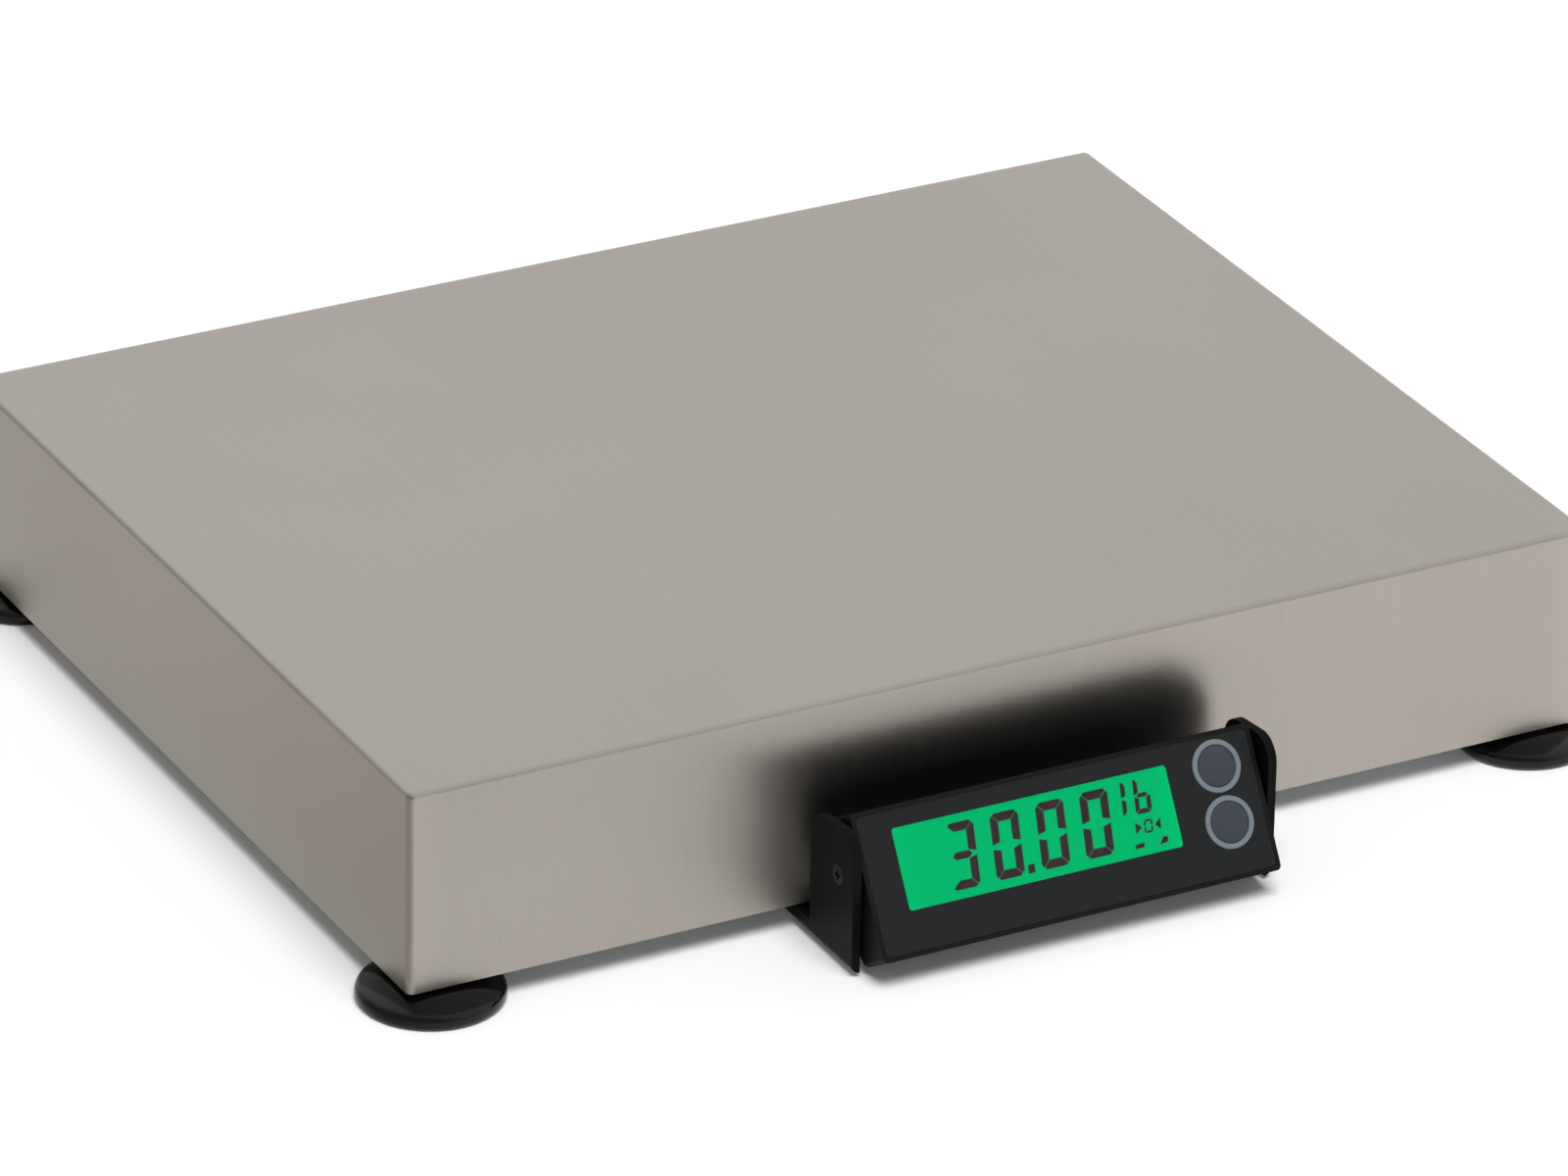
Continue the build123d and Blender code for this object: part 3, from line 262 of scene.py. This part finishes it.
# Keys: slate caps of moulded silicone in grey printed rings, on white acetal plungers.
ring_grey, tree, shader = surface("grey_key_ring", "#727B80", roughness=0.45,
                                  Specular_IOR_Level=0.2)
mottled(tree, shader, "#6B7479", "#798287", 1500, (0.4, 0.5))
finish(ring_grey, "key_rings")

slate_cap, tree, shader = surface("slate_key_cap", "#3D424B", roughness=0.5,
                                  Specular_IOR_Level=0.15)
mottled(tree, shader, "#373C45", "#434851", 1200, (0.44, 0.56))
finish(slate_cap, "upper_key", "lower_key")

white_acetal, tree, shader = surface("white_acetal", "#E6E4DE", roughness=0.45)
mottled(tree, shader, "#DEDCD6", "#ECEAE4", 900, (0.4, 0.5))
finish(white_acetal, "upper_key_plunger", "lower_key_plunger")

# Liquid-crystal panel: glass over an even green backlight, a little brighter round its edge.
# It is lit by itself, so its colour is in its emission.
RIM_FROM, RIM_TO = 0.42, 0.5        # from the panel's middle, as shares of its sides
lit_green, tree, shader = surface("backlit_liquid_crystal", "#03140A", roughness=0.35,
                                  Specular_IOR_Level=0.0, Emission_Strength=1.0)
place = add(tree, "ShaderNodeTexCoord")
shares = add(tree, "ShaderNodeSeparateXYZ", {"Vector": place.outputs["Generated"]})
spans = []
for axis in ("X", "Y"):
    centred = add(tree, "ShaderNodeMath", {0: shares.outputs[axis], 1: 0.5}, operation="SUBTRACT")
    spans.append(add(tree, "ShaderNodeMath", {0: centred.outputs[0]}, operation="ABSOLUTE"))
farther = add(tree, "ShaderNodeMath", {0: spans[0].outputs[0], 1: spans[1].outputs[0]},
              operation="MAXIMUM")
rim = add(tree, "ShaderNodeMapRange", {"Value": farther.outputs[0], "From Min": RIM_FROM,
                                       "From Max": RIM_TO})
glow = add(tree, "ShaderNodeMix", {"Factor": rim.outputs["Result"], COLOUR_A: linear("#00B56A"),
                                   COLOUR_B: linear("#00C271")}, data_type="RGBA")
tree.links.new(glow.outputs[COLOUR_OUT], shader.inputs["Emission Color"])
finish(lit_green, "lcd_glass", "backlight")

# Lens: clear cast acrylic over the panel, coated against glare. So it mirrors less than bare
# acrylic, which its low IOR gives.
clear_acrylic, tree, shader = surface("clear_cast_acrylic", "#FFFFFF", roughness=0.03, IOR=1.1,
                                      Transmission_Weight=1.0)
finish(clear_acrylic, "display_lens")

# Figures of the panel: thirty point zero zero pounds in sloped seven-segment figures, and a
# zero sign with two marks under it. Sizes are in millimetres, across and down the panel.
PIVOT = Vector((0, -0.145826, 0.0266))
TILT = math.radians(59)
UP = Vector((0, math.cos(TILT), math.sin(TILT)))
OUT = Vector((0, -math.sin(TILT), math.cos(TILT)))
PANEL_TOP = 14.7            # above the pivot, along the panel
FIGURES_OUT = 5.42          # in front of the pivot, just off the glass

FIGURE_HEIGHT, FIGURE_WIDTH = 17.6, 8.5
FIGURE_TOP = 8.3
FIGURE_LEFTS = (-33.0, -19.7, -6.0, 7.3)
STROKE = 2.4
SLANT = 2.0 / FIGURE_HEIGHT
SEGMENT_GAP = 0.07
HALF_GAP_INNER, HALF_GAP_OUTER = 0.5, 0.2   # of a figure's middle, in strokes
CORNER_CUT = 0.5                            # in strokes, as is the next
BRIDGE_HALF = 0.42
LIT = {"3": "abgcd", "0": "abcdef", "l": "ef", "b": "cdefg"}
POINT = [(-11.9, 23.6), (-9.9, 23.6), (-10.2, 25.9), (-12.2, 25.9)]
UNIT_TOP, UNIT_HEIGHT, UNIT_STROKE = 7.5, 9.8, 1.35
UNIT = (("l", 19.8, 4.5), ("b", 23.6, 4.9))     # letter, left edge, width
ZERO_LEFT, ZERO_TOP, ZERO_WIDTH, ZERO_HEIGHT, ZERO_STROKE = 24.2, 19.0, 2.6, 3.6, 0.6
ARROWHEADS = [[(21.6, 19.2), (23.4, 20.8), (21.2, 22.4)],
              [(29.2, 19.2), (27.2, 20.8), (28.8, 22.4)]]
MARKS = [[(20.2, 25.0), (23.0, 24.8), (22.9, 26.0), (20.1, 26.2)],
         [(27.4, 26.4), (28.8, 24.4), (30.2, 24.6), (30.0, 26.0), (28.8, 26.2)]]


def on_panel(x, down):
    """A point in front of the panel's glass, in metres."""
    return PIVOT + (Vector((x, 0, 0)) + UP * (PANEL_TOP - down) + OUT * FIGURES_OUT) / 1000


def figure(character, left, top, width, height, stroke):
    """The lit segments of one figure, sloped, as outlines across and down the panel."""
    gap, cut = SEGMENT_GAP, CORNER_CUT * stroke
    middle = height / 2
    inner, outer = middle + HALF_GAP_INNER * stroke, middle + HALF_GAP_OUTER * stroke
    upper = [(0, height - cut - gap), (cut / 2, height - cut / 2 - gap),
             (stroke, height - stroke - gap), (stroke, inner), (0, outer)]
    lid = [(cut / 2 + gap, height - cut / 2), (cut + gap, height), (width - cut - gap, height),
           (width - cut / 2 - gap, height - cut / 2), (width - stroke - gap, height - stroke),
           (stroke + gap, height - stroke)]
    half = BRIDGE_HALF * stroke
    near, far = stroke / 2 + gap, width - stroke / 2 - gap
    bridge = [(near, middle), (near + half, middle + half), (far - half, middle + half),
              (far, middle), (far - half, middle - half), (near + half, middle - half)]

    def mirrored(points):
        return [(width - x, y) for x, y in points]

    def turned(points):
        return [(x, height - y) for x, y in points]

    bars = {"a": lid, "b": mirrored(upper), "c": turned(mirrored(upper)), "d": turned(lid),
            "e": turned(upper), "f": upper, "g": bridge}
    return [[(left + x + SLANT * (y - height), top + height - y) for x, y in bars[k]]
            for k in LIT[character]]


outlines = []
for character, left in zip("3000", FIGURE_LEFTS):
    outlines += figure(character, left, FIGURE_TOP, FIGURE_WIDTH, FIGURE_HEIGHT, STROKE)
outlines.append(POINT)
for character, left, width in UNIT:
    outlines += figure(character, left, UNIT_TOP, width, UNIT_HEIGHT, UNIT_STROKE)
outlines += figure("0", ZERO_LEFT, ZERO_TOP, ZERO_WIDTH, ZERO_HEIGHT, ZERO_STROKE)
outlines += ARROWHEADS + MARKS
mesh = bmesh.new()
for outline in outlines:
    face = mesh.faces.new([mesh.verts.new(on_panel(x, down)) for x, down in outline])
    face.normal_update()
    if face.normal.dot(OUT) < 0:
        face.normal_flip()
data = bpy.data.meshes.new("lcd_segments")
mesh.to_mesh(data)
mesh.free()
lcd_segments = bpy.data.objects.new("lcd_segments", data)
bpy.context.scene.collection.objects.link(lcd_segments)
dark_crystal, tree, shader = surface("dark_liquid_crystal", "#2B1E22", roughness=0.4,
                                     Specular_IOR_Level=0.1)
mottled(tree, shader, "#271A1E", "#302327", 800, (0.35, 0.45))
data.materials.append(dark_crystal)
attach(lcd_segments, "display")

# Floor: a white sweep. For mirror rays the floor left of the scale is painted grey, a painted
# shade that the left skirt mirrors, and right of the display there is a little more light.
FLOOR_SIZE = 12
FLOOR_MIDDLE = (0, 2, 0)
FLOOR_WHITE = "#FCFCFC"
FLOOR_LIFT = 0.05           # keeps the far shade white
FLOOR_GAIN = 0.1            # of white, right of the display
GAIN_FROM, GAIN_TO = 0.03, 0.09
MIRRORED_SHADE_EDGE = -0.168
MIRRORED_SHADE_BLEND = 0.03
MIRRORED_SHADE_DEPTH = 0.13           # from the scale's middle to the painted shade's near and far ends
MIRRORED_SHADE_NEAR, MIRRORED_SHADE_FAR = "#BFBCB6", "#DCD9D7"


def directly_seen(tree):
    """Its light paths, and 1 for the rays that show a surface as it is, through glass too."""
    rays = add(tree, "ShaderNodeLightPath")
    through = add(tree, "ShaderNodeMath", {0: rays.outputs["Is Camera Ray"],
                                           1: rays.outputs["Is Transmission Ray"]},
                  operation="MAXIMUM")
    return rays, through


bpy.ops.mesh.primitive_plane_add(size=FLOOR_SIZE, location=FLOOR_MIDDLE)
floor = bpy.context.object
floor.name = "floor"
white_sweep, tree, shader = surface("white_sweep", FLOOR_WHITE, roughness=0.9,
                                    Specular_IOR_Level=0.0)
shader.inputs["Emission Color"].default_value = (1, 1, 1, 1)
rays, through = directly_seen(tree)
shown = add(tree, "ShaderNodeMath", {0: through.outputs[0], 1: rays.outputs["Is Glossy Ray"]},
            operation="MAXIMUM")
position = add(tree, "ShaderNodeNewGeometry").outputs["Position"]
spot = add(tree, "ShaderNodeSeparateXYZ", {"Vector": position})
# Painted shade: for mirror rays only, the floor left of the scale is painted grey, near to far.
in_mirrored_shade = add(tree, "ShaderNodeMapRange", {"Value": spot.outputs["X"], "From Min": MIRRORED_SHADE_EDGE,
                                           "From Max": MIRRORED_SHADE_EDGE - MIRRORED_SHADE_BLEND})
dimmed = add(tree, "ShaderNodeMath", {0: in_mirrored_shade.outputs["Result"],
                                      1: rays.outputs["Is Glossy Ray"]}, operation="MULTIPLY")
back = add(tree, "ShaderNodeMapRange", {"Value": spot.outputs["Y"], "From Min": -MIRRORED_SHADE_DEPTH,
                                        "From Max": MIRRORED_SHADE_DEPTH})
mirrored_shade = add(tree, "ShaderNodeMix", {"Factor": back.outputs["Result"], COLOUR_A: linear(MIRRORED_SHADE_NEAR),
                                   COLOUR_B: linear(MIRRORED_SHADE_FAR)}, data_type="RGBA")
paper = add(tree, "ShaderNodeMix", {"Factor": dimmed.outputs[0], COLOUR_A: linear(FLOOR_WHITE),
                                    COLOUR_B: mirrored_shade.outputs[COLOUR_OUT]}, data_type="RGBA")
tree.links.new(paper.outputs[COLOUR_OUT], shader.inputs["Base Color"])
undimmed = add(tree, "ShaderNodeMath", {0: shown.outputs[0], 1: dimmed.outputs[0]},
               operation="SUBTRACT")
lift = add(tree, "ShaderNodeMath", {0: undimmed.outputs[0], 1: FLOOR_LIFT}, operation="MULTIPLY")
on_right = add(tree, "ShaderNodeMapRange", {"Value": spot.outputs["X"], "From Min": GAIN_FROM,
                                            "From Max": GAIN_TO, "To Max": FLOOR_GAIN})
emitted = add(tree, "ShaderNodeMath", {0: on_right.outputs["Result"],
                                       1: rays.outputs["Is Glossy Ray"], 2: lift.outputs[0]},
              operation="MULTIPLY_ADD")
tree.links.new(emitted.outputs[0], shader.inputs["Emission Strength"])
floor.data.materials.append(white_sweep)

# Room: white to the camera and through glass, and plain soft light on the object. Mirror rays
# see one bright side, right of the scale.
AMBIENT = 0.3
BRIGHT_SIDE = (0.9, 0.3, 0.3)
ROOM_FROM, ROOM_TO = -0.3, 0.4      # how far a ray leans to the bright side
ROOM_DIM, ROOM_BRIGHT = 0.35, 1.0
world = bpy.data.worlds.new("studio")
bpy.context.scene.world = world
world.use_nodes = True
sky = world.node_tree
background = sky.nodes["Background"]
background.inputs["Color"].default_value = (1, 1, 1, 1)
aim = add(sky, "ShaderNodeTexCoord")
lean = add(sky, "ShaderNodeVectorMath", {0: aim.outputs["Generated"], 1: BRIGHT_SIDE},
           operation="DOT_PRODUCT")
room = add(sky, "ShaderNodeMapRange", {"Value": lean.outputs["Value"], "From Min": ROOM_FROM,
                                       "From Max": ROOM_TO, "To Min": ROOM_DIM,
                                       "To Max": ROOM_BRIGHT})
rays, through = directly_seen(sky)
reflected = add(sky, "ShaderNodeMix", {"Factor": rays.outputs["Is Glossy Ray"],
                                       NUMBER_A: AMBIENT, NUMBER_B: room.outputs["Result"]},
                data_type="FLOAT")
strength = add(sky, "ShaderNodeMath", {0: reflected.outputs[NUMBER_OUT],
                                       1: through.outputs[0]}, operation="MAXIMUM")
sky.links.new(strength.outputs[0], background.inputs["Strength"])

# Key lamp: a wide soft sun, high above the camera and a little to its right.
KEY_LEVEL = 0.72            # of white, on the floor
KEY_HEIGHT = math.radians(66)
KEY_SIDE = math.radians(8)
KEY_SPREAD = math.radians(34)
key = bpy.data.lights.new("key", "SUN")
key.angle = KEY_SPREAD
key.energy = KEY_LEVEL * math.pi / math.sin(KEY_HEIGHT)
key_lamp = bpy.data.objects.new("key", key)
towards_key = Vector((-math.sin(KEY_SIDE) * math.cos(KEY_HEIGHT),
                      -math.cos(KEY_SIDE) * math.cos(KEY_HEIGHT), math.sin(KEY_HEIGHT)))
key_lamp.rotation_euler = towards_key.to_track_quat("Z", "Y").to_euler()
key_lamp.visible_glossy = False
bpy.context.scene.collection.objects.link(key_lamp)

# Camera: solved from the platter's edges, a long lens from the front left.
CAMERA_PLACE = (-1.19451, -2.22958, 1.29304)
CAMERA_RIGHT = Vector((0.88537, -0.46464, 0.01499))
CAMERA_UP = Vector((0.19560, 0.40158, 0.89469))
CAMERA_AHEAD = Vector((0.42172, 0.78920, -0.44644))
LENS, SENSOR = 235.8, 36
FARTHEST_SEEN = 50
camera_data = bpy.data.cameras.new("camera")
camera_data.sensor_width = SENSOR
camera_data.lens = LENS
camera_data.clip_end = FARTHEST_SEEN
camera = bpy.data.objects.new("camera", camera_data)
turn = Matrix((CAMERA_RIGHT, CAMERA_UP, -CAMERA_AHEAD)).transposed()
camera.matrix_world = Matrix.Translation(CAMERA_PLACE) @ turn.to_4x4()
bpy.context.scene.collection.objects.link(camera)
bpy.context.scene.camera = camera
bpy.context.scene.view_settings.view_transform = "Standard"
